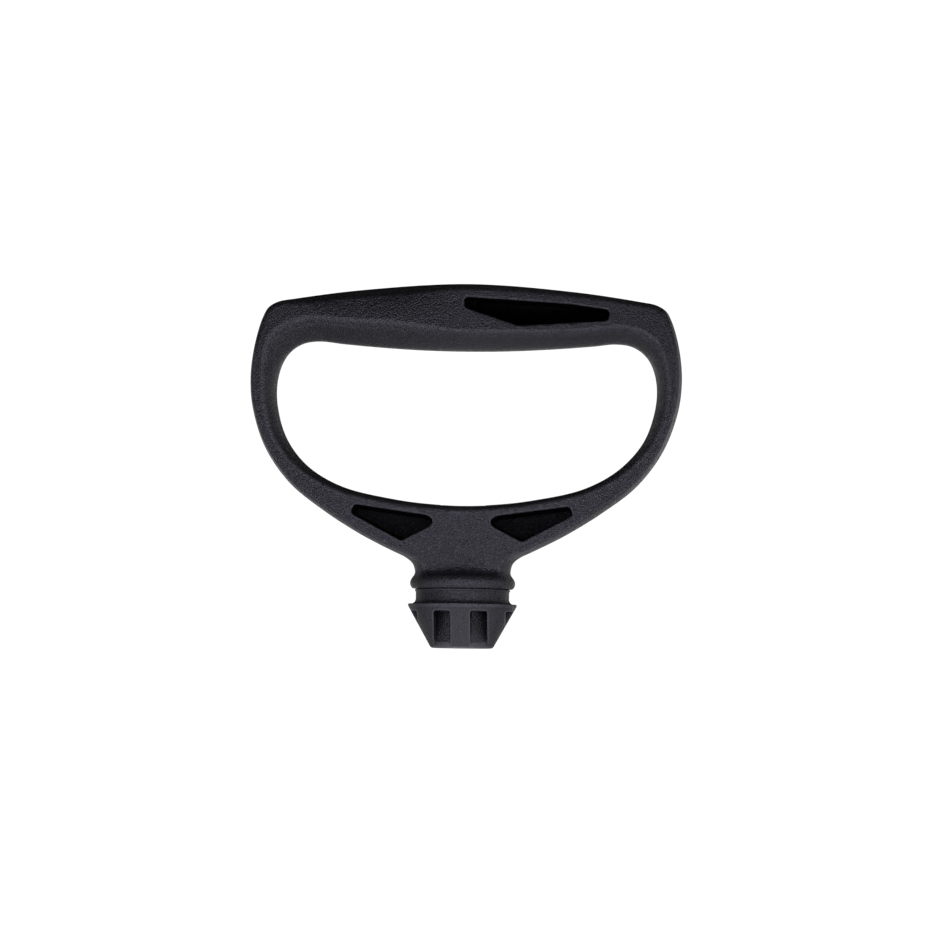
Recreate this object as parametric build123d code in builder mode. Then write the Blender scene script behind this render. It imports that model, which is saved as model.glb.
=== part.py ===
from build123d import *
import math
import os

# Rope pull handle: a moulded D-shaped grip that swivels on a ribbed, self-centring nose.
# Millimetres. Z points up from the nose tip to the grip, X runs along the grip,
# and the parting plane of the moulding is Y = 0, with the front at -Y.

# ------------------------------------------------------------ driving dimensions: frame
WEB_HALF = 8.3               # half the thickness of the web and the arms
GRIP_HALF = 10.4             # half the thickness of the grip at its middle
BULGE_END = 46.0             # the grip swells between -BULGE_END and +BULGE_END
SWELL_FLOOR = 75.0           # height, inside the open D, where the swelling is cut off
ENVELOPE_WIDTH = 200.0       # wider and taller than the frame
ENVELOPE_TOP = 120.0

# Right half of the outer edge on the parting plane, from the web up to the crown:
# (x, z, step on the open side, step on the closed side). A step is how far the edge
# has drawn in at the web's face; the grip's closed side slopes away further.
OUTER_EDGE = [
    (20.0, 28.0, 1.1, 1.1),
    (30.0, 33.3, 1.1, 1.1),
    (40.0, 39.7, 1.1, 1.1),
    (50.0, 47.4, 1.1, 1.1),
    (57.3, 57.5, 1.0, 1.0),
    (61.3, 69.0, 0.9, 0.9),
    (62.4, 77.5, 0.9, 0.9),
    (61.8, 85.0, 0.9, 0.9),
    (59.3, 95.0, 0.9, 1.0),
    (56.2, 99.1, 0.9, 0.9),
    (50.0, 100.8, 0.8, 0.8),
    (37.0, 102.65, 0.8, 1.7),
    (25.0, 104.05, 0.8, 1.9),
    (12.0, 105.1, 0.8, 1.3),
    (0.0, 105.5, 0.8, 0.8),
]
# Right half of the opening's edge on the parting plane:
# (x, z, step on the grip's open side, step on its closed side).
OPENING_EDGE = [
    (0.0, 41.2, 1.2, 1.2),
    (20.0, 42.9, 1.2, 1.2),
    (35.0, 46.4, 1.5, 1.5),
    (45.0, 52.1, 2.2, 2.2),
    (51.6, 60.0, 2.8, 2.8),
    (54.8, 70.0, 3.2, 3.2),
    (54.9, 77.5, 3.3, 3.3),
    (52.7, 83.4, 4.2, 4.3),
    (48.6, 87.2, 4.6, 5.2),
    (43.0, 88.4, 4.2, 5.6),
    (25.0, 86.8, 3.2, 5.0),
    (12.0, 86.1, 2.9, 3.7),
    (0.0, 85.9, 2.9, 2.9),
]
LOFT_DEPTHS = [-12.0, -6.0, 0.0, 6.0, 12.0]
PLATE_FOOT_Z = 22.2          # the web's plate starts here, inside the neck
PLATE_NECK_HALF = 13.7       # half the plate's width in the neck
NECK_STEP = 2.6              # draw-in of the plate's corners there, at the web's face
NECK_BEND_Z = 23.2           # the neck's side starts to flare here
ARM_RISE = (0.885, 0.466)    # direction of the arm's edge where the flare ends

# Lightening pockets: centres (x, z) and radius of their round corners, and their depth.
WEB_POCKET = [(9.8, 37.1), (9.8, 36.15), (17.4, 32.2), (30.6, 39.2), (30.3, 39.9)]
GRIP_POCKET = [(1.3, 100.0), (1.3, 99.1), (16.0, 94.05), (40.8, 96.0), (40.8, 97.1), (30.5, 98.35)]
POCKET_CORNER_R = 1.2
POCKET_WALL = 2.2            # left behind the pockets
TIP_LENGTH = 3.5             # the grip pockets' pointed ends, which stop short of
TIP_FLOOR = 1.0              # the parting plane, so that front and back stay apart

# ------------------------------------------------------------ driving dimensions: neck
SEAM_Z = 17.1                # lower end of the frame, facing the nose's collar
BEAD_R = 15.2
BEAD_Z = 18.7                # height of the bead's widest point
BEAD_FOOT_R = 14.3           # where the bead meets the seam
BEAD_UPPER_R = 2.05          # section radius above the widest point
# Neck sections from the round bead to the flat web: (z, half width, half depth, corner).
NECK_SECTIONS = [
    (19.6, 14.6, 14.6, 14.5),
    (21.0, 14.0, 11.3, 9.5),
    (22.6, 13.8, 9.1, 6.0),
    (25.0, 13.6, 8.2, 3.0),
]

# ------------------------------------------------------------ driving dimensions: nose
TIP_R = 8.95
TIP_ROUND = 0.5
RIM_R = 15.75
RIM_LOW_Z = 12.2
RIM_TOP_Z = 12.7
GROOVE_R = 13.5
GROOVE_ROUND = 1.5
COLLAR_R = 14.1
COLLAR_LOW_Z = 16.0          # the groove's wall starts to flare into the collar
COLLAR_TOP_Z = 16.9
SHOULDER_R = 12.8            # the collar's inner step, which covers the seam from inside
SHOULDER_TOP_Z = 17.9
RECESS_LOW_X = 2.9           # the recesses between the ribs, front and back
RECESS_HIGH_X = 7.65
SIDE_RECESS_X = 12.7         # the outermost recesses start here
SIDE_WALL = 1.2              # and stop this far from the parting plane
CORE_R = 9.45                # the inner recesses end on this round core
RECESS_TOP_Z = 10.9

# ------------------------------------------------------------ driving dimensions: inside
RUNNING = 0.05               # radial clearance of everything that turns or slides
ROPE_R = 3.0
FERRULE_R = 3.8
FERRULE_LENGTH = 12.0
FERRULE_LIP_R = 5.2
FERRULE_LIP = 0.8
FERRULE_MOUTH = 0.6
SPIGOT_R = 6.95
SPIGOT_TOP_Z = 21.2
STEM_R = 4.4
STEM_TOP_Z = 29.4
COUNTERBORE_TOP_Z = 18.1
SOCKET_TOP_Z = 21.5
SEAL_R = 0.9                 # section radius of the O-ring
SEAL_Z = 19.3
SEAL_GROOVE_WIDTH = 2.0
RING_BAY_R = 5.3
RING_BAY_Z = 27.0
RING_BAY_TOP_Z = 30.0
KNOT_R = 5.9
CAP_SEAT_Z = 37.4
CAP_R = 6.35
THRUST_WASHER = 0.8          # thickness
RING_GROOVE_R = 3.9
RING_GROOVE_Z = 27.9
RING_THICKNESS = 0.8
RING_R = 5.15
RING_GAP = 2.4               # the ring's open side
KNOT_WASHER = 1.2            # thickness
KNOT_WASHER_R = 5.8
KNOT_WASHER_HOLE_R = 3.3
CAP_LOW_Z = 37.5
CAP_RIM_Z = 40.4
CAP_CROWN_Z = 41.1
CAP_HOLLOW_R = 4.4
CAP_HOLLOW = 1.6
CAP_NOTCH = 2.6              # width of the prising notch
CAP_NOTCH_DEPTH = 1.2


def drawn_in(points, steps, depth, side):
    """Edge points at a distance depth from the parting plane.

    side is +1 where the edge moves to its left as it draws in, and -1 for its right.
    """
    share = (depth / WEB_HALF) ** 2
    last = len(points) - 1
    moved = []
    for i, (x, z) in enumerate(points):
        before = points[max(i - 1, 0)]
        after = points[min(i + 1, last)]
        run = after[0] - before[0]
        rise = 0 if x == 0 else after[1] - before[1]
        reach = side * steps[i] * share / math.hypot(run, rise)
        moved.append((x - rise * reach, z + run * reach))
    return moved


def flipped(points):
    return [(-x, z) for x, z in points]


def ring_profile(inner, outer, low, high):
    """Rectangle in the XZ plane that revolves into a plain ring."""
    return [(inner, low), (outer, low), (outer, high), (inner, high)]


# ------------------------------------------------------------ handle frame
# The frame's walls are barrelled: its outer edge and its opening both draw back
# from the parting plane towards the faces.
with BuildPart() as outer:
    edge = [(x, z) for x, z, open_step, closed_step in OUTER_EDGE]
    open_steps = [row[2] for row in OUTER_EDGE]
    closed_steps = [row[3] for row in OUTER_EDGE]
    for depth in LOFT_DEPTHS:
        neck = PLATE_NECK_HALF - NECK_STEP * (depth / WEB_HALF) ** 2
        right_steps = closed_steps if depth > 0 else open_steps
        left_steps = closed_steps if depth < 0 else open_steps
        right = drawn_in(edge, right_steps, depth, 1)
        left = flipped(drawn_in(edge, left_steps, depth, 1))
        with BuildSketch(Plane.XZ.offset(-depth)):
            with BuildLine():
                for out, arm in ((1, right), (-1, left)):
                    rise = (out * ARM_RISE[0], ARM_RISE[1])
                    bend = (out * neck, NECK_BEND_Z)
                    Polyline((0, PLATE_FOOT_Z), (out * neck, PLATE_FOOT_Z), bend)
                    Spline(bend, arm[0], tangents=[(0, 1), rise])
                    Spline(arm, tangents=[rise, (-out, 0)])
            make_face()
    loft()

with BuildPart() as opening:
    edge = [(x, z) for x, z, open_step, closed_step in OPENING_EDGE]
    open_steps = [row[2] for row in OPENING_EDGE]
    closed_steps = [row[3] for row in OPENING_EDGE]
    for depth in LOFT_DEPTHS:
        right_steps = closed_steps if depth > 0 else open_steps
        left_steps = closed_steps if depth < 0 else open_steps
        right = drawn_in(edge, right_steps, depth, -1)
        left = flipped(drawn_in(edge, left_steps, depth, -1))
        with BuildSketch(Plane.XZ.offset(-depth)):
            with BuildLine():
                Spline(right, tangents=[(1, 0), (-1, 0)])
                Spline(left, tangents=[(-1, 0), (1, 0)])
            make_face()
    loft()

# The grip swells in a smooth curve seen from above; the rest of the frame is flat-faced.
with BuildPart() as envelope:
    with BuildSketch():
        Rectangle(ENVELOPE_WIDTH, 2 * WEB_HALF)
    extrude(amount=ENVELOPE_TOP)
    with BuildSketch(Plane.XY.offset(SWELL_FLOOR)):
        with BuildLine():
            for out in (1, -1):
                Spline(
                    (-BULGE_END, out * WEB_HALF),
                    (0, out * GRIP_HALF),
                    (BULGE_END, out * WEB_HALF),
                    tangents=[(1, 0), (1, 0)],
                )
                Line((out * BULGE_END, -WEB_HALF), (out * BULGE_END, WEB_HALF))
        make_face()
    extrude(amount=ENVELOPE_TOP - SWELL_FLOOR)

with BuildPart() as web_pocket:
    with BuildSketch(Plane.XZ.offset(GRIP_HALF)):
        with Locations(*WEB_POCKET):
            Circle(POCKET_CORNER_R)
        make_hull()
    extrude(amount=POCKET_WALL - WEB_HALF - GRIP_HALF)

with BuildPart() as grip_pocket:
    with BuildSketch(Plane.XZ.offset(GRIP_HALF + 1)):
        with Locations(*GRIP_POCKET):
            Circle(POCKET_CORNER_R)
        make_hull()
    extrude(amount=TIP_FLOOR - GRIP_HALF - 1)
    with BuildSketch(Plane.XZ.offset(TIP_FLOOR + 1)):
        with Locations(*GRIP_POCKET):
            Circle(POCKET_CORNER_R)
        make_hull()
        with Locations((TIP_LENGTH, GRIP_POCKET[0][1])):
            Rectangle(ENVELOPE_WIDTH, ENVELOPE_WIDTH, align=(Align.MIN, Align.CENTER), mode=Mode.INTERSECT)
    extrude(amount=POCKET_WALL - WEB_HALF - TIP_FLOOR - 1)

with BuildPart() as handle_frame:
    add(outer.part)
    add(opening.part, mode=Mode.SUBTRACT)
    add(envelope.part, mode=Mode.INTERSECT)
    for z, half_x, half_y, corner in NECK_SECTIONS:
        with BuildSketch(Plane.XY.offset(z)):
            RectangleRounded(2 * half_x, 2 * half_y, corner)
    loft()
    with BuildSketch(Plane.XZ):
        with BuildLine():
            widest = (BEAD_R, BEAD_Z)
            foot = (BEAD_FOOT_R, SEAM_Z)
            top = (BEAD_R - BEAD_UPPER_R, BEAD_Z + BEAD_UPPER_R)
            TangentArc(widest, foot, tangent=(0, -1))
            TangentArc(widest, top, tangent=(0, 1))
            Polyline(top, (0, top[1]), (0, SEAM_Z), foot)
        make_face()
    revolve(axis=Axis.Z)
    add(web_pocket.part, mode=Mode.SUBTRACT)
    add(web_pocket.part.mirror(Plane.YZ), mode=Mode.SUBTRACT)
    add(grip_pocket.part, mode=Mode.SUBTRACT)
    add(grip_pocket.part.rotate(Axis.Z, 180), mode=Mode.SUBTRACT)
    # Socket for the nose, bay for the retaining ring, knot pocket and seat of the cap.
    bores = [
        (SHOULDER_R + RUNNING, SEAM_Z - 1, COUNTERBORE_TOP_Z),
        (SPIGOT_R + RUNNING, COUNTERBORE_TOP_Z, SOCKET_TOP_Z),
        (STEM_R + RUNNING, SOCKET_TOP_Z, RING_BAY_Z),
        (RING_BAY_R, RING_BAY_Z, RING_BAY_TOP_Z),
        (KNOT_R, RING_BAY_TOP_Z, CAP_SEAT_Z),
        (CAP_R + RUNNING, CAP_SEAT_Z, OPENING_EDGE[0][1] + 1),
    ]
    for radius, low, high in bores:
        with BuildSketch(Plane.XY.offset(low)):
            Circle(radius)
        extrude(amount=high - low, mode=Mode.SUBTRACT)

# ------------------------------------------------------------ ribbed nose
with BuildPart() as ribbed_nose:
    with BuildSketch(Plane.XZ) as nose_outline:
        Polygon(
            (0, 0),
            (TIP_R, 0),
            (RIM_R, RIM_LOW_Z),
            (RIM_R, RIM_TOP_Z),
            (GROOVE_R, RIM_TOP_Z),
            (GROOVE_R, COLLAR_LOW_Z),
            (COLLAR_R, COLLAR_TOP_Z),
            (SHOULDER_R, COLLAR_TOP_Z),
            (SHOULDER_R, SHOULDER_TOP_Z),
            (SPIGOT_R, SHOULDER_TOP_Z),
            (SPIGOT_R, SPIGOT_TOP_Z),
            (STEM_R, SPIGOT_TOP_Z),
            (STEM_R, STEM_TOP_Z),
            (0, STEM_TOP_Z),
            align=None,
        )
        fillet(nose_outline.vertices().sort_by_distance((TIP_R, 0))[0], TIP_ROUND)
        fillet(nose_outline.vertices().sort_by_distance((GROOVE_R, RIM_TOP_Z))[0], GROOVE_ROUND)
    revolve(axis=Axis.Z)
    # Rope bore with the counterbore of its ferrule, the seal's groove and the ring's groove.
    grooves = [
        (0, ROPE_R, -1, STEM_TOP_Z + 1),
        (0, FERRULE_R, -1, FERRULE_LENGTH),
        (0, FERRULE_LIP_R, -1, FERRULE_LIP),
        (SPIGOT_R - 2 * SEAL_R, SPIGOT_R + 1, SEAL_Z - SEAL_GROOVE_WIDTH / 2, SEAL_Z + SEAL_GROOVE_WIDTH / 2),
        (RING_GROOVE_R, STEM_R + 1, RING_GROOVE_Z, RING_GROOVE_Z + RING_THICKNESS),
    ]
    for inner, outside, low, high in grooves:
        with BuildSketch(Plane.XZ):
            Polygon(*ring_profile(inner, outside, low, high), align=None)
        revolve(axis=Axis.Z, mode=Mode.SUBTRACT)
    # Recesses drawn to the front and the back, which leave upright ribs between them.
    with BuildSketch(Plane.XY.offset(-1)):
        with Locations(((RECESS_LOW_X + RECESS_HIGH_X) / 2, 0), (-(RECESS_LOW_X + RECESS_HIGH_X) / 2, 0)):
            Rectangle(RECESS_HIGH_X - RECESS_LOW_X, 4 * RIM_R)
        Circle(CORE_R, mode=Mode.SUBTRACT)
        with Locations((SIDE_RECESS_X + RIM_R, 0), (-SIDE_RECESS_X - RIM_R, 0)):
            Rectangle(2 * RIM_R, 2 * RIM_R)
        Rectangle(4 * RIM_R, 2 * SIDE_WALL, mode=Mode.SUBTRACT)
    extrude(amount=RECESS_TOP_Z + 1, mode=Mode.SUBTRACT)

# ------------------------------------------------------------ pieces on the nose
with BuildPart() as rope_ferrule:
    with BuildSketch(Plane.XZ) as ferrule_outline:
        Polygon(
            (ROPE_R, 0),
            (FERRULE_LIP_R, 0),
            (FERRULE_LIP_R, FERRULE_LIP),
            (FERRULE_R, FERRULE_LIP),
            (FERRULE_R, FERRULE_LENGTH),
            (ROPE_R, FERRULE_LENGTH),
            align=None,
        )
        fillet(ferrule_outline.vertices().sort_by_distance((ROPE_R, 0))[0], FERRULE_MOUTH)
    revolve(axis=Axis.Z)

with BuildPart() as o_ring:
    with BuildSketch(Plane.XZ):
        with Locations((SPIGOT_R - SEAL_R, SEAL_Z)):
            Circle(SEAL_R)
    revolve(axis=Axis.Z)

with BuildPart() as retaining_ring:
    with BuildSketch(Plane.XY.offset(RING_GROOVE_Z)):
        Circle(RING_R)
        Circle(RING_GROOVE_R, mode=Mode.SUBTRACT)
        with Locations((RING_R, 0)):
            Rectangle(RING_R, RING_GAP, mode=Mode.SUBTRACT)
    extrude(amount=RING_THICKNESS)

# ------------------------------------------------------------ pieces in the frame
with BuildPart() as thrust_washer:
    with BuildSketch(Plane.XY.offset(RING_BAY_Z)):
        Circle(RING_R)
        Circle(STEM_R + RUNNING, mode=Mode.SUBTRACT)
    extrude(amount=THRUST_WASHER)

with BuildPart() as knot_washer:
    with BuildSketch(Plane.XY.offset(RING_BAY_TOP_Z)):
        Circle(KNOT_WASHER_R)
        Circle(KNOT_WASHER_HOLE_R, mode=Mode.SUBTRACT)
    extrude(amount=KNOT_WASHER)

with BuildPart() as knot_cap:
    with BuildSketch(Plane.XZ):
        with BuildLine():
            Polyline((0, CAP_CROWN_Z), (0, CAP_LOW_Z + CAP_HOLLOW), (CAP_HOLLOW_R, CAP_LOW_Z + CAP_HOLLOW))
            Polyline((CAP_HOLLOW_R, CAP_LOW_Z + CAP_HOLLOW), (CAP_HOLLOW_R, CAP_LOW_Z), (CAP_R, CAP_LOW_Z))
            Line((CAP_R, CAP_LOW_Z), (CAP_R, CAP_RIM_Z))
            Spline((CAP_R, CAP_RIM_Z), (0, CAP_CROWN_Z), tangents=[(-1, 0.35), (-1, 0)])
        make_face()
    revolve(axis=Axis.Z)
    with BuildSketch(Plane.XY.offset(CAP_CROWN_Z)):
        with Locations((CAP_R, 0)):
            Rectangle(CAP_NOTCH, CAP_NOTCH)
    extrude(amount=-CAP_NOTCH_DEPTH - CAP_CROWN_Z + CAP_RIM_Z, mode=Mode.SUBTRACT)

# ------------------------------------------------------------ one file for each piece
pieces = {
    "handle_frame": handle_frame,
    "knot_cap": knot_cap,
    "knot_washer": knot_washer,
    "thrust_washer": thrust_washer,
    "ribbed_nose": ribbed_nose,
    "rope_ferrule": rope_ferrule,
    "retaining_ring": retaining_ring,
    "o_ring": o_ring,
}
os.makedirs("parts", exist_ok=True)
for name, piece in pieces.items():
    piece.part.label = name
    export_step(piece.part, f"parts/{name}.step")
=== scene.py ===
import math

import bpy
import numpy as np
from mathutils import Matrix, Vector


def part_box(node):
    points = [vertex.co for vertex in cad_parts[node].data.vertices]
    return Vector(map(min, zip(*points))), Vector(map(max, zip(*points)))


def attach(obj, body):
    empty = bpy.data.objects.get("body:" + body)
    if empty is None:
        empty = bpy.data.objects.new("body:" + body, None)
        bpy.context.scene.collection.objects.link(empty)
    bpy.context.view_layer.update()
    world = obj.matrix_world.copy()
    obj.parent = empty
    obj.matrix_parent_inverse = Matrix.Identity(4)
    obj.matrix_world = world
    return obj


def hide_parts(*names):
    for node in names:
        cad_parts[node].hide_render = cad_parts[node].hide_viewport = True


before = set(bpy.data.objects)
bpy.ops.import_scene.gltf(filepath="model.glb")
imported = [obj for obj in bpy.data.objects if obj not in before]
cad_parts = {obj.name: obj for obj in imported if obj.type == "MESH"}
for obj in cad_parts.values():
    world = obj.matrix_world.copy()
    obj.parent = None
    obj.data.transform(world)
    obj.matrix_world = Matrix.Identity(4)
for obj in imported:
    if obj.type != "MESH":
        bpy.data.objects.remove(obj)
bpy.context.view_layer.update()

# The mouldings are shaped here as distance fields in millimetres: a field is negative
# inside the plastic, and skin() turns its zero surface into a mesh in metres.
MM = 0.001


# ---------------------------------------------------------------- fields
def both(a, b, radius):
    """Where both fields are solid, with the edge between them rounded to radius."""
    outside = np.hypot(np.maximum(a + radius, 0), np.maximum(b + radius, 0))
    return np.minimum(-radius, np.maximum(a, b)) + outside


def either(a, b, radius):
    """Where either field is solid, with the corner between them filled to radius."""
    return -both(-a, -b, radius)


def cut(body, tool, radius):
    """The body less the tool, with the rim rounded to radius."""
    return both(body, -tool, radius)


def ease(value, start, end):
    """0 before start, 1 after end, and smooth between them."""
    t = np.clip((value - start) / (end - start), 0, 1)
    return t * t * (3 - 2 * t)


def smooth_curve(points, samples=24):
    """Closed curve through the points, as centripetal Catmull-Rom spans."""
    p = np.array(points, float)
    before, after, beyond = np.roll(p, 1, 0), np.roll(p, -1, 0), np.roll(p, -2, 0)
    knot = [np.zeros(len(p))]
    for a, b in ((before, p), (p, after), (after, beyond)):
        knot.append(knot[-1] + np.hypot(*(b - a).T) ** 0.5)
    k0, k1, k2, k3 = (k[:, None, None] for k in knot)
    t = k1 + (k2 - k1) * np.linspace(0, 1, samples, endpoint=False)[None, :, None]
    p0, p1, p2, p3 = (q[:, None, :] for q in (before, p, after, beyond))
    a1 = p0 + (p1 - p0) * (t - k0) / (k1 - k0)
    a2 = p1 + (p2 - p1) * (t - k1) / (k2 - k1)
    a3 = p2 + (p3 - p2) * (t - k2) / (k3 - k2)
    b1 = a1 + (a2 - a1) * (t - k0) / (k2 - k0)
    b2 = a2 + (a3 - a2) * (t - k1) / (k3 - k1)
    return (b1 + (b2 - b1) * (t - k1) / (k2 - k1)).reshape(-1, 2)


def polygon_distance(x, z, corners):
    """Signed distance to a closed polygon in the XZ plane, negative inside."""
    nearest = np.full(np.shape(x), np.inf)
    inside = np.zeros(np.shape(x), bool)
    for (x0, z0), (x1, z1) in zip(corners, np.roll(corners, -1, 0)):
        run, rise = x1 - x0, z1 - z0
        along = np.clip(((x - x0) * run + (z - z0) * rise) / (run * run + rise * rise), 0, 1)
        nearest = np.minimum(nearest, (x - x0 - along * run) ** 2 + (z - z0 - along * rise) ** 2)
        if rise:
            inside ^= ((z0 > z) != (z1 > z)) & (x < x0 + (z - z0) * run / rise)
    return np.sqrt(nearest) * np.where(inside, -1, 1)


class Outline:
    """Signed distance to a smooth closed curve, looked up on a fine table."""

    def __init__(self, points, pitch=0.25, margin=8.0):
        curve = smooth_curve(points)
        self.low = curve.min(0) - margin
        self.pitch = pitch
        size = np.ceil((curve.max(0) + margin - self.low) / pitch).astype(int)
        x = self.low[0] + pitch * np.arange(size[0])[:, None]
        z = self.low[1] + pitch * np.arange(size[1])[None, :]
        self.table = polygon_distance(*np.broadcast_arrays(x, z), curve)

    def __call__(self, x, z):
        u = (x - self.low[0]) / self.pitch
        v = (z - self.low[1]) / self.pitch
        i = np.clip(u.astype(int), 0, self.table.shape[0] - 2)
        j = np.clip(v.astype(int), 0, self.table.shape[1] - 2)
        u, v, t = u - i, v - j, self.table
        near = t[i, j] * (1 - v) + t[i, j + 1] * v
        far = t[i + 1, j] * (1 - v) + t[i + 1, j + 1] * v
        return near * (1 - u) + far * u


def rounded(centres, radius):
    """Field of the shape round a set of corner circles, given by their centres."""
    centres = np.array(centres, float)
    return lambda x, z: polygon_distance(x, z, centres) - radius


# ---------------------------------------------------------------- field to mesh
def gradient(field, points, reach=0.02):
    """Gradient of the field at the points, by central differences."""
    slope = np.empty_like(points)
    for axis in range(3):
        offset = np.zeros(3)
        offset[axis] = reach
        slope[:, axis] = (field(*(points + offset).T) - field(*(points - offset).T)) / (2 * reach)
    return slope


def edge_highlight_and_wear(field, points, reach=0.35):
    """How strongly the surface bends outwards at each point, from 0 to 1 at a sharp edge; the nylon
    paints its edges paler by this, as a painted highlight with some real wear.
    """
    here = field(*points.T)
    bend = sum(
        field(*(points + side * step).T) - here
        for step in np.eye(3) * reach
        for side in (1, -1)
    )
    return ease(bend / reach ** 2, 0.25, 1.1)


def skin(name, field, low, high, cell):
    """Mesh of the field's zero surface: one vertex in each grid cell that it crosses."""
    axes = [np.arange(a - 2 * cell, b + 3 * cell, cell) for a, b in zip(low, high)]
    value = field(*np.meshgrid(*axes, indexing="ij"))
    solid = value < 0
    size = np.array(value.shape)
    total = np.zeros((*(size - 1), 3))
    count = np.zeros(size - 1)
    crossings = []
    for axis in range(3):
        ahead = np.eye(3, dtype=int)[axis]
        near = tuple(slice(0, n - a) for n, a in zip(size, ahead))
        far = tuple(slice(a, n) for n, a in zip(size, ahead))
        where = np.argwhere(solid[near] != solid[far])
        v0 = value[near][tuple(where.T)]
        v1 = value[far][tuple(where.T)]
        at = where.astype(float)
        at[:, axis] += v0 / (v0 - v1)
        crossings.append((axis, where, solid[near][tuple(where.T)]))
        others = [k for k in range(3) if k != axis]
        for a in (0, 1):
            for b in (0, 1):
                cube = where.copy()
                cube[:, others[0]] -= a
                cube[:, others[1]] -= b
                np.add.at(total, tuple(cube.T), at)
                np.add.at(count, tuple(cube.T), 1)
    used = np.argwhere(count > 0)
    index = np.full(size - 1, -1)
    index[tuple(used.T)] = np.arange(len(used))
    points = total[tuple(used.T)] / count[tuple(used.T)][:, None]
    points = points * cell + np.array([a[0] for a in axes])
    quads = []
    for axis, where, starts_solid in crossings:
        u, v = np.roll(np.arange(3), -axis)[1:]
        ring = []
        for a, b in ((0, 0), (1, 0), (1, 1), (0, 1)):
            cube = where.copy()
            cube[:, u] -= a
            cube[:, v] -= b
            ring.append(index[tuple(cube.T)])
        quad = np.stack(ring, 1)
        quad[~starts_solid] = quad[~starts_solid][:, ::-1]
        quads.append(quad)
    start = points.copy()
    for _ in range(4):
        slope = gradient(field, points)
        step = field(*points.T) / np.maximum((slope ** 2).sum(1), 0.05)
        points = points - slope * np.clip(step, -cell, cell)[:, None] * 0.9
        drift = points - start
        length = np.linalg.norm(drift, axis=1)
        points = start + drift * np.minimum(1, cell / np.maximum(length, 1e-9))[:, None]
    slope = gradient(field, points)
    normals = slope / np.linalg.norm(slope, axis=1)[:, None]
    quads = np.concatenate(quads)
    mesh = bpy.data.meshes.new(name)
    mesh.vertices.add(len(points))
    mesh.vertices.foreach_set("co", (points * MM).ravel())
    mesh.loops.add(quads.size)
    mesh.loops.foreach_set("vertex_index", quads.ravel())
    mesh.polygons.add(len(quads))
    mesh.polygons.foreach_set("loop_start", np.arange(0, quads.size, 4))
    mesh.update(calc_edges=True)
    mesh.validate()
    mesh.normals_split_custom_set_from_vertices(normals)
    # This edge attribute drives the nylon's painted edge highlight, which has some real wear in it.
    highlight_and_wear = mesh.attributes.new("highlight_and_wear", "FLOAT", "POINT")
    highlight_and_wear.data.foreach_set("value", edge_highlight_and_wear(field, points).astype(np.float32))
    piece = bpy.data.objects.new(name, mesh)
    bpy.context.collection.objects.link(piece)
    print(name, len(points), "vertices", len(quads), "quads")
    return piece


# ---------------------------------------------------------------- the handle's moulding
WEB_HALF = 8.3               # half the depth of the web and the arms
GRIP_HALF = 10.4             # and of the middle of the grip
BULGE_END = 46.0             # where the grip has its plain depth again
SEAM_Z = 17.1                # lower end of the moulding, just above the nose's collar
NECK_HALF = 13.8             # half width above the bead
WEB_SWAY = 0.4               # how far the web has crept to the left in the mould
GRIP_SWAY = 0.32             # and the grip to the right
OPENING_SWAY = 0.25          # and the opening's sides, past the rest
OUTER_EDGE = [
    (NECK_HALF, 10.0), (NECK_HALF, 16.0), (NECK_HALF, 20.0), (13.9, 22.6), (14.6, 24.5),
    (16.5, 26.15), (20.1, 27.9), (25.1, 30.35), (30.2, 33.05), (40.2, 39.35), (50.25, 47.25),
    (57.6, 57.4), (61.6, 68.9), (62.5, 77.5), (61.9, 85.0), (60.5, 91.5), (59.2, 95.3),
    (57.7, 98.0), (54.8, 99.8), (50.0, 100.75), (37.0, 102.7), (25.0, 104.0), (12.0, 105.05),
    (0.0, 105.45),
]
OPENING_EDGE = [
    (0.0, 41.2), (10.0, 41.65), (20.0, 42.9), (35.0, 46.4), (45.0, 52.1), (51.6, 60.0),
    (54.6, 69.0), (55.0, 76.0), (53.6, 81.8), (51.2, 85.4), (47.6, 87.7), (43.0, 88.4),
    (36.0, 87.7), (25.0, 86.8), (12.0, 86.1), (0.0, 85.9),
]
# The pockets' corners, as the centres of their rounds.
WEB_POCKET = [(10.6, 36.95), (9.6, 36.3), (10.2, 35.7), (17.4, 32.0), (30.6, 39.0), (30.3, 39.7)]
GRIP_POCKET = [(1.0, 99.8), (1.0, 98.9), (15.5, 94.1), (40.3, 95.9), (40.4, 96.8), (30.5, 98.15)]
POCKET_CORNER = 1.2          # and their radius
POCKET_FLOOR = 6.1           # depth of the pockets' floors, past the parting plane
POCKET_TRIM = 0.55           # depth of the pockets' rims, which keep the face's material
POCKET_RIM = 0.45            # radius of their rims
POCKET_DRAFT = 0.03          # how much their walls close in for each millimetre of depth
FACE_STEP = 0.9              # how far the flanks have drawn in at the faces
GRIP_STEP = 1.0              # and how much further on the grip's closed halves
NECK_STEP = 1.9              # and below the web, towards the bead
OPENING_HALF = 55.0          # half width of the opening
OPENING_MIDDLE_Z = 66.0      # height of its middle
OPENING_RISE = 23.0          # and half height, to tell the way round it
KNOT_HOLES = [(6.47, 37.4), (6.0, 29.8), (5.5, 26.8), (4.75, 10.0)]   # (radius, lower end)
KNOT_TOP_Z = 45.0
SOCKETS = [(12.9, 18.1), (7.2, 21.8)]    # (radius, upper end)
BEAD_R = 15.2
BEAD_Z = 18.7                # height of the bead's widest point
BEAD_LOWER = 1.9             # section radius below that height, and above it
BEAD_UPPER = 2.05


def whole(half):
    """A closed outline from its right half, which runs up to the middle."""
    on_axis = [point for point in half if point[0] == 0]
    sides = [point for point in half if point[0] > 0]
    left = [(-x, z) for x, z in reversed(sides)]
    top = [on_axis[-1]]
    foot = on_axis[:-1]
    return foot + sides + top + left


outer_edge = Outline(whole(OUTER_EDGE))
opening_edge = Outline(whole(OPENING_EDGE))
web_pocket = rounded(WEB_POCKET, POCKET_CORNER)
grip_pocket = rounded(GRIP_POCKET, POCKET_CORNER)


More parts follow.
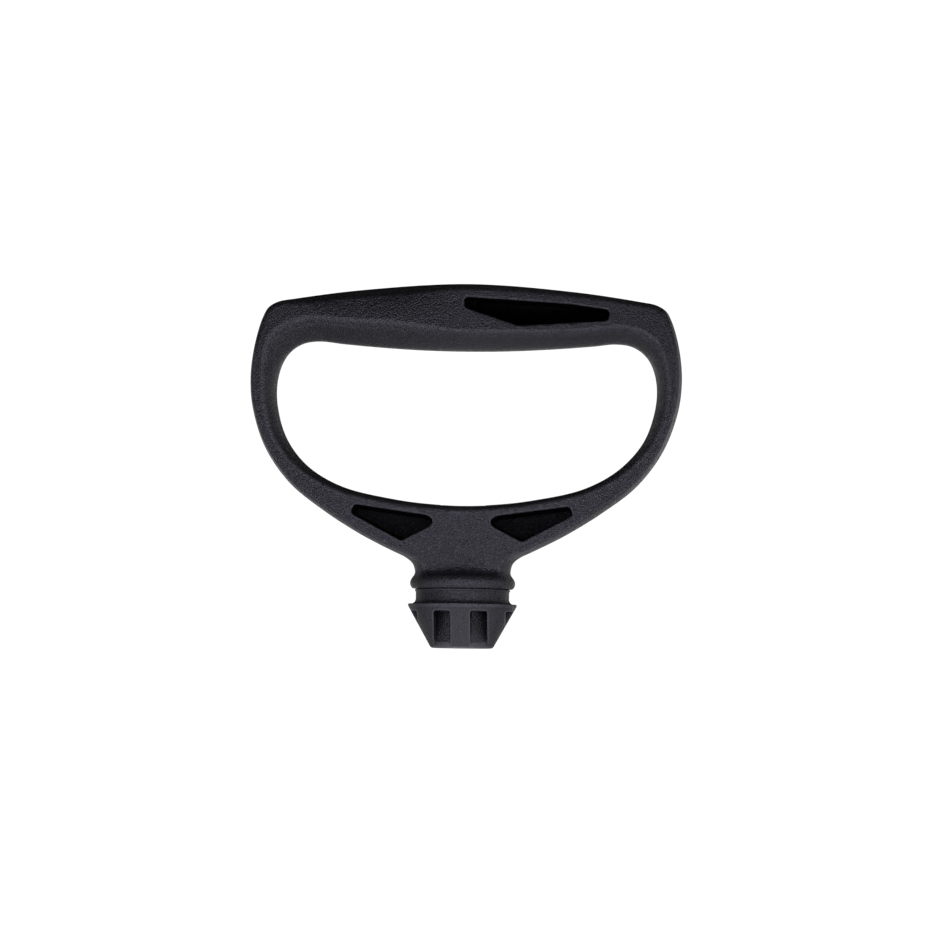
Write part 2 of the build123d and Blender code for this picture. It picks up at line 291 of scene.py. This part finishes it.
def opening_step(x, z, closed):
    """How far the opening has grown at the web's face: most in the upper corners.

    Under the grip's closed halves, where closed is 1, it grows further.
    """
    down = (OPENING_MIDDLE_Z - z) / OPENING_RISE
    turn = np.degrees(np.arctan2(np.abs(x) / OPENING_HALF, down))
    corner = np.exp(-((turn - 137) / 15) ** 2)
    grip = ease(turn, 105, 140)
    open_step = 1.6 + 1.6 * ease(turn, 25, 100) + 1.1 * corner - 0.3 * ease(turn, 145, 180)
    closed_step = 2.0 * grip * ease(np.abs(x), 0, 28)
    return open_step + closed * closed_step


def sway(z):
    """How far the moulding is off centre at height z, from its creep in the mould."""
    return (WEB_SWAY + GRIP_SWAY) * ease(z, 36, 92) - WEB_SWAY * ease(z, 22, 29)


def half_depth(x, z):
    """Half the moulding's depth, which grows towards the middle of the grip."""
    swell = np.cos(np.pi / 2 * np.clip(x / BULGE_END, -1, 1)) ** 2 * (z > 75)
    return WEB_HALF + (GRIP_HALF - WEB_HALF) * swell


def frame_field(x, y, z):
    """The frame: grip, arms, web and bead, with its pockets and its bores."""
    bent = x - sway(z)
    share = (y / WEB_HALF) ** 2
    radius = np.hypot(x, y)
    # The closed half of the grip slopes away from the crown and has a crowned face.
    closed_half = x * y > 0
    closed = ease(np.abs(x), 0, 22) * (1 - ease(np.abs(x), 40, 56)) * closed_half * (z > 90)
    step = FACE_STEP + GRIP_STEP * closed + NECK_STEP * (1 - ease(z, 23, 28))
    face = np.abs(y) - half_depth(bent, z)
    crown = closed * ((z - 94) / 6) ** 2 * 0.5
    grip = ease(z, 84, 90)
    edge = 0.45 + 0.35 * ease(z, 50, 75) + 0.7 * grip
    body = both(outer_edge(bent, z) + step * share, face + crown, edge)
    bent = bent - OPENING_SWAY * ease(z, 50, 62)
    inner = opening_step(bent, z, closed_half) * share - opening_edge(bent, z)
    body = both(body, inner, 0.7 + 0.6 * grip)
    # The bead is a thick disc with a round rim; the web's faces flare out onto it.
    bend = np.where(z < BEAD_Z, BEAD_LOWER, BEAD_UPPER)
    bead = np.hypot(np.maximum(radius - BEAD_R + bend, 0), z - BEAD_Z) - bend
    body = either(body, bead, 1.2 + 2.6 * (y / np.maximum(radius, 1)) ** 2)
    body = both(body, SEAM_Z - z, 0.25)
    pocket = web_pocket(np.abs(x + WEB_SWAY / 2), z) + POCKET_DRAFT * (y + WEB_HALF)
    body = cut(body, both(pocket, y - POCKET_FLOOR, 0.6), POCKET_RIM)
    for side in (1, -1):
        floor = np.where(side * x < 3, -1.0, POCKET_FLOOR)
        pocket = np.maximum(grip_pocket(side * x, z), side * y - floor)
        body = cut(body, pocket, POCKET_RIM)
    hole = np.full(np.shape(body), np.inf)
    for size, low in KNOT_HOLES:
        hole = np.minimum(hole, np.maximum(np.maximum(radius - size, low - z), z - KNOT_TOP_Z))
    for size, top in SOCKETS:
        hole = np.minimum(hole, np.maximum(radius - size, z - top))
    return cut(body, hole, 0.2)


# ---------------------------------------------------------------- the nose and the cap
TIP_R = 8.95
RIM_R = 15.75
RIM_LOW_Z = 12.2
RIM_TOP_Z = 12.7
GROOVE_R = 13.5
COLLAR_R = 13.7
COLLAR_TOP_Z = 16.9
RECESS = (2.9, 7.65)         # the recesses between the ribs, front and back, across X
SIDE_RECESS = 12.7           # the outermost recesses start here
RECESS_TOP_Z = 10.6
RECESS_TRIM = 0.3            # depth of the recesses' rims, which keep the cone's material
CORE_R = 9.45                # the recesses end on a round core
SIDE_WALL = 1.2              # and on a thin wall along the parting plane
SPIGOTS = [(12.8, 17.9), (6.95, 21.2), (4.4, 29.4)]      # (radius, upper end)
NOSE_BORES = [(3.0, 31.0), (3.8, 12.0), (5.2, 0.8)]      # (radius, upper end)
NOSE_GROOVES = [(5.15, 18.3, 20.3), (3.9, 27.9, 28.7)]   # (radius, lower end, upper end)
CAP_R = 6.35
CAP_LOW_Z = 37.5
CAP_SINK = 0.05              # how far the cap's top lies below the web's edge
CAP_HOLLOW = (4.4, 39.1)     # radius and upper end of the hollow underneath
CAP_NOTCH = (1.3, 5.2, 39.4)     # half width, inner end and lower end of the notch


def nose_field(x, y, z):
    """The nose: ribbed cone, groove, spigot and stem, with its bores and ring grooves."""
    radius = np.hypot(x, y)
    slope = (RIM_R - TIP_R) / RIM_LOW_Z
    cone = (radius - TIP_R - slope * z) / math.hypot(1, slope)
    body = both(both(cone, -z, 0.5), radius - RIM_R, 0.2)
    body = both(body, z - RIM_TOP_Z, 0.15)
    # Recesses moulded from the front and the back, with upright ribs between them.
    middle, half = np.mean(RECESS), np.ptp(RECESS) / 2
    recess = both(np.abs(np.abs(x) - middle) - half, z - RECESS_TOP_Z, 0.6)
    body = cut(body, both(recess, CORE_R - radius, 0.4), 0.3)
    recess = both(SIDE_RECESS - np.abs(x), z - RECESS_TOP_Z, 0.6)
    body = cut(body, both(recess, SIDE_WALL - np.abs(y), 0.3), 0.3)
    collar = either(radius - GROOVE_R, np.maximum(radius - COLLAR_R, COLLAR_TOP_Z - 0.3 - z), 0.6)
    collar = both(collar, z - COLLAR_TOP_Z, 0.2)
    body = either(body, np.maximum(collar, RIM_LOW_Z - z), 1.5)
    for size, high in SPIGOTS:
        body = np.minimum(body, np.maximum(both(radius - size, z - high, 0.3), RIM_LOW_Z - z))
    for size, high in NOSE_BORES:
        body = np.maximum(body, -np.maximum(radius - size, z - high))
    for size, low, high in NOSE_GROOVES:
        body = np.maximum(body, -np.maximum(size - radius, np.maximum(low - z, z - high)))
    return body


def cap_field(x, y, z):
    """The knot pocket's cap, flush with the web's top edge, with a notch to lift it by."""
    radius = np.hypot(x, y)
    crown = opening_step(x, z, False) * (y / WEB_HALF) ** 2 - opening_edge(x, z) + CAP_SINK
    body = both(radius - CAP_R, crown, 0.35)
    body = both(body, CAP_LOW_Z - z, 0.3)
    size, top = CAP_HOLLOW
    body = cut(body, np.maximum(radius - size, z - top), 0.2)
    half, inner, low = CAP_NOTCH
    notch = both(both(np.abs(y) - half, inner - x, 0.3), low - z, 0.3)
    return cut(body, notch, 0.2)


def node_range(node):
    """Lowest and highest corner of a node, in millimetres."""
    return [np.array(corner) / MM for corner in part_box(node)]


# For each node: the piece's name, its field, the grid's cell, its body and its slot.
shapes = {
    "handle_frame": ("frame_moulding", frame_field, 0.45, "handle", "moulding"),
    "ribbed_nose": ("nose_moulding", nose_field, 0.28, "nose", "moulding"),
    "knot_cap": ("cap_moulding", cap_field, 0.2, "cap", "cap"),
}
mouldings = {}
for node, (name, field, cell, body, slot) in shapes.items():
    piece = skin(name, field, *node_range(node), cell)
    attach(piece, body)
    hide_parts(node)
    mouldings[node] = piece


# ---------------------------------------------------------------- materials
def node_material(name, color, roughness, metallic=0.0):
    """A material with its shader, and the object coordinates that its patterns follow."""
    material = bpy.data.materials.new(name)
    material.use_nodes = True
    nodes = material.node_tree.nodes
    links = material.node_tree.links
    shader = nodes["Principled BSDF"]
    shader.inputs["Base Color"].default_value = (*color, 1)
    shader.inputs["Roughness"].default_value = roughness
    shader.inputs["Metallic"].default_value = metallic
    place = nodes.new("ShaderNodeTexCoord").outputs["Object"]
    return material, nodes, links, shader, place


def pattern(nodes, links, place, scale, detail=2.0, roughness=0.5):
    """Noise with features about 1/scale metres across."""
    noise = nodes.new("ShaderNodeTexNoise")
    noise.inputs["Scale"].default_value = scale
    noise.inputs["Detail"].default_value = detail
    noise.inputs["Roughness"].default_value = roughness
    links.new(place, noise.inputs["Vector"])
    return noise.outputs["Fac"]


def remap(nodes, links, value, low, high, start=0.0, end=1.0):
    """The value stretched from low..high to start..end, and held there beyond."""
    node = nodes.new("ShaderNodeMapRange")
    node.inputs["From Min"].default_value = low
    node.inputs["From Max"].default_value = high
    node.inputs["To Min"].default_value = start
    node.inputs["To Max"].default_value = end
    links.new(value, node.inputs["Value"])
    return node.outputs["Result"]


def blend_color(nodes, links, share, dark, light):
    """Colour between dark and light, which are colours or sockets."""
    mix = nodes.new("ShaderNodeMix")
    mix.data_type = "RGBA"
    links.new(share, mix.inputs["Factor"])
    for socket, color in (("A", dark), ("B", light)):
        entry = [i for i in mix.inputs if i.name == socket and i.type == "RGBA"][0]
        if isinstance(color, tuple):
            entry.default_value = (*color, 1)
        else:
            links.new(color, entry)
    return [o for o in mix.outputs if o.type == "RGBA"][0]


def bumped(nodes, links, height, distance, strength=1.0, under=None):
    """Bump of the height pattern, on top of an earlier bump."""
    bump = nodes.new("ShaderNodeBump")
    bump.inputs["Strength"].default_value = strength
    bump.inputs["Distance"].default_value = distance
    links.new(height, bump.inputs["Height"])
    if under is not None:
        links.new(under, bump.inputs["Normal"])
    return bump.outputs["Normal"]


SHEEN_TINT = (0.82, 0.79, 1.0, 1.0)      # the nylon's faint violet reflection
EDGE_HIGHLIGHT_AND_WEAR = 6.5                          # how much paler its edges are painted: a painted highlight, with some real wear


def nylon(name, base, shine, grain=1.0):
    """Black glass-filled nylon with a spark-eroded grain, its edges painted paler: a painted highlight
    with some real wear.

    The grain is a lattice of fine bumps with sparse dark pits; shine is the specular level.
    """
    material, nodes, links, shader, place = node_material(name, base, 0.5)
    shader.inputs["Specular IOR Level"].default_value = shine
    shader.inputs["Specular Tint"].default_value = SHEEN_TINT
    speckle = pattern(nodes, links, place, 3000, 1.0)
    grain_fine = pattern(nodes, links, place, 2300, 1.0, 0.5)
    grain_broad = pattern(nodes, links, place, 700, 3.0, 0.6)
    cloud = pattern(nodes, links, place, 45, 3.0, 0.6)
    pits = remap(nodes, links, pattern(nodes, links, place, 700, 0.0), 0.80, 0.84)
    lighter = tuple(c * 2.6 for c in base)
    darker = tuple(c * 0.15 for c in base)
    tone = blend_color(nodes, links, remap(nodes, links, grain_fine, 0.38, 0.62), darker, lighter)
    tone = blend_color(nodes, links, remap(nodes, links, speckle, 0.35, 0.65, 0.0, 0.6), tone, lighter)
    tone = blend_color(nodes, links, remap(nodes, links, cloud, 0.3, 0.75, 0.0, 0.3), tone, lighter)
    # Painted highlight along the edges, with some real wear: colour paler where the surface bends
    # sharply, patchy by the broad grain.
    highlight_and_wear_input = nodes.new("ShaderNodeAttribute")
    highlight_and_wear_input.attribute_name = "highlight_and_wear"
    patchy_highlight_and_wear = nodes.new("ShaderNodeMath")
    patchy_highlight_and_wear.operation = "MULTIPLY"
    links.new(highlight_and_wear_input.outputs["Fac"], patchy_highlight_and_wear.inputs[0])
    links.new(remap(nodes, links, grain_broad, 0.35, 0.65, 0.35, 1.0), patchy_highlight_and_wear.inputs[1])
    tone = blend_color(nodes, links, patchy_highlight_and_wear.outputs["Value"], tone, tuple(c * EDGE_HIGHLIGHT_AND_WEAR for c in base))
    tone = blend_color(nodes, links, pits, tone, tuple(c * 0.1 for c in base))
    links.new(tone, shader.inputs["Base Color"])
    links.new(remap(nodes, links, grain_broad, 0.3, 0.7, 0.26, 0.44), shader.inputs["Roughness"])
    normal = bumped(nodes, links, grain_fine, 0.0005 * grain, 0.75)
    normal = bumped(nodes, links, grain_broad, 0.0002 * grain, 0.5, normal)
    links.new(normal, shader.inputs["Normal"])
    return material


def stainless(name):
    """Turned stainless steel: fine rings about the bore, with a light haze."""
    material, nodes, links, shader, place = node_material(name, (0.62, 0.61, 0.59), 0.28, 1.0)
    rings = nodes.new("ShaderNodeTexWave")
    rings.wave_type = "RINGS"
    rings.rings_direction = "Z"
    rings.inputs["Scale"].default_value = 1100
    rings.inputs["Distortion"].default_value = 1.5
    links.new(place, rings.inputs["Vector"])
    haze = pattern(nodes, links, place, 300, 3.0)
    share = remap(nodes, links, haze, 0.3, 0.7)
    tone = blend_color(nodes, links, share, (0.50, 0.49, 0.47), (0.68, 0.67, 0.65))
    links.new(tone, shader.inputs["Base Color"])
    links.new(remap(nodes, links, haze, 0.3, 0.7, 0.22, 0.40), shader.inputs["Roughness"])
    links.new(bumped(nodes, links, rings.outputs["Fac"], 0.00002, 0.5), shader.inputs["Normal"])
    return material


def nitrile(name):
    """Black seal rubber, slightly mottled."""
    material, nodes, links, shader, place = node_material(name, (0.012, 0.012, 0.013), 0.45)
    mottle = pattern(nodes, links, place, 1200, 2.0)
    tone = blend_color(nodes, links, mottle, (0.008, 0.008, 0.009), (0.020, 0.020, 0.021))
    links.new(tone, shader.inputs["Base Color"])
    links.new(remap(nodes, links, mottle, 0.3, 0.7, 0.38, 0.55), shader.inputs["Roughness"])
    links.new(bumped(nodes, links, mottle, 0.00003, 0.4), shader.inputs["Normal"])
    return material


def wear(piece, material):
    """Make the piece of the one material."""
    piece.data.materials.clear()
    piece.data.materials.append(material)


SHADE_LINING_REACH = 0.5           # how far past a pocket's floor its painted shade is looked for


def paint_shade_in(piece, hollow, material):
    """Give the faces in a hollow of the piece, told by a test of x, y and z, a darker material of
    their own: painted shade.
    """
    piece.data.materials.append(material)
    centre = np.empty(len(piece.data.polygons) * 3)
    piece.data.polygons.foreach_get("center", centre)
    inside = hollow(*centre.reshape(-1, 3).T / MM)
    piece.data.polygons.foreach_set("material_index", inside.astype(np.int32))


def in_pocket(x, y, z):
    """Whether a point is in one of the frame's pockets, past its rim: where the painted shade goes."""
    end = POCKET_FLOOR + SHADE_LINING_REACH
    inside = (y > POCKET_TRIM - WEB_HALF) & (y < end)
    inside &= web_pocket(np.abs(x + WEB_SWAY / 2), z) < POCKET_TRIM
    for side in (1, -1):
        deep = (side * y > POCKET_TRIM - half_depth(x - sway(z), z)) & (side * y < end)
        inside |= (grip_pocket(side * x, z) < POCKET_TRIM) & deep
    return inside


def in_recess(x, y, z):
    """Whether a point is in one of the nose's recesses, past its rim: where the painted shade goes."""
    radius = np.hypot(x, y)
    deep = radius < TIP_R + (RIM_R - TIP_R) / RIM_LOW_Z * z - RECESS_TRIM
    column = (np.abs(x) > RECESS[0] - 0.1) & (np.abs(x) < RECESS[1] + 0.1)
    column |= np.abs(x) > SIDE_RECESS - 0.1
    return column & deep & (radius > CORE_R - 0.2) & (z < RECESS_TOP_Z + 0.1)


moulding = nylon("black_nylon", (0.0079, 0.0075, 0.0092), 0.5)
wear(mouldings["handle_frame"], moulding)
# Painted shade: the pockets' walls and floors get a darker, duller nylon that stands for the shade
# deep inside them.
paint_shade_in(mouldings["handle_frame"], in_pocket, nylon("pocket_painted_shade", (0.0016, 0.0016, 0.0018), 0.08))
wear(mouldings["ribbed_nose"], moulding)
# Painted shade: the nose's recesses get a darker, duller nylon that stands for the shade in them.
paint_shade_in(mouldings["ribbed_nose"], in_recess, nylon("recess_painted_shade", (0.0060, 0.0057, 0.0070), 0.35))
wear(mouldings["knot_cap"], nylon("cap_nylon", (0.0109, 0.0103, 0.0128), 0.5, 0.8))
metal = stainless("turned_stainless")
for node in ("rope_ferrule", "retaining_ring", "thrust_washer", "knot_washer"):
    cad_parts[node].material_slots[0].material = metal
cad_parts["o_ring"].material_slots[0].material = nitrile("seal_rubber")


# ---------------------------------------------------------------- studio
VIEW_AZIMUTH = math.radians(2.6)
VIEW_ELEVATION = math.radians(-2.8)
VIEW_ROLL = math.radians(0.785)
VIEW_DISTANCE = 1.5
VIEW_WIDTH = 0.2701          # width of the picture at the object
VIEW_CENTRE = Vector((0.00066, 0, 0.0526))
SENSOR = 36.0


def add_camera():
    toward = Vector((
        math.sin(VIEW_AZIMUTH) * math.cos(VIEW_ELEVATION),
        -math.cos(VIEW_AZIMUTH) * math.cos(VIEW_ELEVATION),
        math.sin(VIEW_ELEVATION),
    ))
    data = bpy.data.cameras.new("camera")
    data.sensor_width = SENSOR
    data.lens = SENSOR * VIEW_DISTANCE / VIEW_WIDTH
    data.clip_start = 0.01
    camera = bpy.data.objects.new("camera", data)
    turn = toward.to_track_quat("Z", "Y").to_matrix().to_4x4()
    place = Matrix.Translation(VIEW_CENTRE + toward * VIEW_DISTANCE)
    camera.matrix_world = place @ turn @ Matrix.Rotation(VIEW_ROLL, 4, "Z")
    bpy.context.collection.objects.link(camera)
    bpy.context.scene.camera = camera


def add_softbox(name, place, target, width, height, power):
    data = bpy.data.lights.new(name, "AREA")
    data.shape = "RECTANGLE"
    data.size = width
    data.size_y = height
    data.energy = power
    light = bpy.data.objects.new(name, data)
    light.location = place
    light.rotation_euler = (Vector(place) - Vector(target)).to_track_quat("Z", "Y").to_euler()
    bpy.context.collection.objects.link(light)


def ellipse(nodes, links, place, centre, radii):
    """Distance from the centre on the floor, as a share of the ellipse's radii."""
    offset = nodes.new("ShaderNodeVectorMath")
    offset.operation = "SUBTRACT"
    links.new(place, offset.inputs[0])
    offset.inputs[1].default_value = (*centre, 0)
    scaled = nodes.new("ShaderNodeVectorMath")
    scaled.operation = "DIVIDE"
    links.new(offset.outputs["Vector"], scaled.inputs[0])
    scaled.inputs[1].default_value = (*radii, 1)
    length = nodes.new("ShaderNodeVectorMath")
    length.operation = "LENGTH"
    links.new(scaled.outputs["Vector"], length.inputs[0])
    return length.outputs["Value"]


def add_floor():
    """A pale floor that is lit from within, and can't be seen from underneath."""
    mesh = bpy.data.meshes.new("floor")
    corners = [(-3, -3, 0), (3, -3, 0), (3, 3, 0), (-3, 3, 0)]
    mesh.from_pydata(corners, [], [(0, 1, 2, 3)])
    floor = bpy.data.objects.new("floor", mesh)
    bpy.context.collection.objects.link(floor)
    floor.location.z = FLOOR_Z
    material = bpy.data.materials.new("pale_floor")
    material.use_nodes = True
    nodes = material.node_tree.nodes
    links = material.node_tree.links
    shader = nodes["Principled BSDF"]
    shader.inputs["Roughness"].default_value = 0.9
    shader.inputs["Specular IOR Level"].default_value = 0.1
    shader.inputs["Emission Color"].default_value = (1, 1, 1, 1)
    place = nodes.new("ShaderNodeTexCoord").outputs["Object"]
    # Brighter patches light the nose and the web from below, and the far floor lights the
    # back. The camera sees the floor evenly pale, with the strips' glare on it toned down.
    seen = nodes.new("ShaderNodeLightPath").outputs["Is Camera Ray"]
    color = blend_color(nodes, links, seen, (0.85, 0.85, 0.86), (0.03, 0.03, 0.03))
    links.new(color, shader.inputs["Base Color"])
    apart = nodes.new("ShaderNodeSeparateXYZ")
    links.new(place, apart.inputs["Vector"])
    glow = remap(nodes, links, apart.outputs["Y"], *BACK_RAMP, FLOOR_GLOW, FLOOR_BACK)
    for centre, radii, extra in FLOOR_PATCHES:
        distance = ellipse(nodes, links, place, centre, radii)
        patch = remap(nodes, links, distance, 0.7, 1.3, extra, 0)
        total = nodes.new("ShaderNodeMath")
        links.new(glow, total.inputs[0])
        links.new(patch, total.inputs[1])
        glow = total.outputs["Value"]
    strength = nodes.new("ShaderNodeMix")
    links.new(seen, strength.inputs["Factor"])
    links.new(glow, strength.inputs["A"])
    strength.inputs["B"].default_value = FLOOR_SEEN
    links.new(strength.outputs["Result"], shader.inputs["Emission Strength"])
    clear = nodes.new("ShaderNodeBsdfTransparent")
    mix = nodes.new("ShaderNodeMixShader")
    links.new(nodes.new("ShaderNodeNewGeometry").outputs["Backfacing"], mix.inputs["Fac"])
    links.new(shader.outputs["BSDF"], mix.inputs[1])
    links.new(clear.outputs["BSDF"], mix.inputs[2])
    links.new(mix.outputs["Shader"], nodes["Material Output"].inputs["Surface"])
    mesh.materials.append(material)


def add_world():
    """White to the camera; to the object, dark overhead and faintly lit at the horizon."""
    world = bpy.data.worlds.new("studio")
    bpy.context.scene.world = world
    world.use_nodes = True
    nodes = world.node_tree.nodes
    links = world.node_tree.links
    lit = nodes["Background"]
    lit.inputs["Color"].default_value = (1, 1, 1, 1)
    height = nodes.new("ShaderNodeSeparateXYZ")
    links.new(nodes.new("ShaderNodeTexCoord").outputs["Generated"], height.inputs["Vector"])
    glow = remap(nodes, links, height.outputs["Z"], -0.2, 0.5, WORLD_LOW, WORLD_HIGH)
    links.new(glow, lit.inputs["Strength"])
    seen = nodes.new("ShaderNodeBackground")
    seen.inputs["Color"].default_value = (1, 1, 1, 1)
    seen.inputs["Strength"].default_value = 1.05
    mix = nodes.new("ShaderNodeMixShader")
    links.new(nodes.new("ShaderNodeLightPath").outputs["Is Camera Ray"], mix.inputs["Fac"])
    links.new(lit.outputs["Background"], mix.inputs[1])
    links.new(seen.outputs["Background"], mix.inputs[2])
    links.new(mix.outputs["Shader"], nodes["World Output"].inputs["Surface"])


FLOOR_Z = 0.0
FLOOR_GLOW = 0.20            # the floor's glow round the object
FLOOR_BACK = 0.80            # and well behind it
BACK_RAMP = (0.19, 0.32)     # where the one turns into the other, along Y
FLOOR_SEEN = 0.76            # and as the camera sees it
FLOOR_PATCHES = [            # centre, radii and extra glow, under the nose and behind the web
    ((0, -0.022), (0.026, 0.016), 0.75),
    ((0, 0.065), (0.075, 0.03), 0.35),
]
WORLD_LOW = 0.02
WORLD_HIGH = 0.0
OBJECT_MIDDLE = (0, 0, 0.055)
# Name, place, target, width, height and watts: a low strip in front of the handle, large
# boxes on its right, and weaker lights round it.
SOFTBOXES = [
    ("front_strip", (0, -0.15, 0.033), (0, 0, 0.033), 0.22, 0.03, 0.135),
    ("right_strip", (0.45, -0.35, 0.03), (0, 0, 0.03), 0.3, 0.05, 0.15),
    ("left_strip", (-0.45, -0.35, 0.03), (0, 0, 0.03), 0.3, 0.05, 0.12),
    ("right_box", (1.38, -0.80, 0.17), OBJECT_MIDDLE, 0.9, 0.9, 1.0),
    ("right_edge", (0.9, -0.05, 0.06), (0, 0, 0.06), 0.3, 0.5, 1.5),
    ("left_box", (-1.30, -0.80, 0.17), OBJECT_MIDDLE, 0.9, 0.9, 0.4),
    ("back_right", (0.80, 1.38, 0.17), OBJECT_MIDDLE, 0.9, 0.9, 1.1),
    ("back_left", (-0.90, 1.30, 0.17), OBJECT_MIDDLE, 0.9, 0.9, 0.8),
    ("top_box", (0, 0.75, 1.2), OBJECT_MIDDLE, 0.9, 0.9, 0.3),
]
add_camera()
add_floor()
add_world()
for softbox in SOFTBOXES:
    add_softbox(*softbox)
bpy.context.scene.view_settings.view_transform = "Standard"
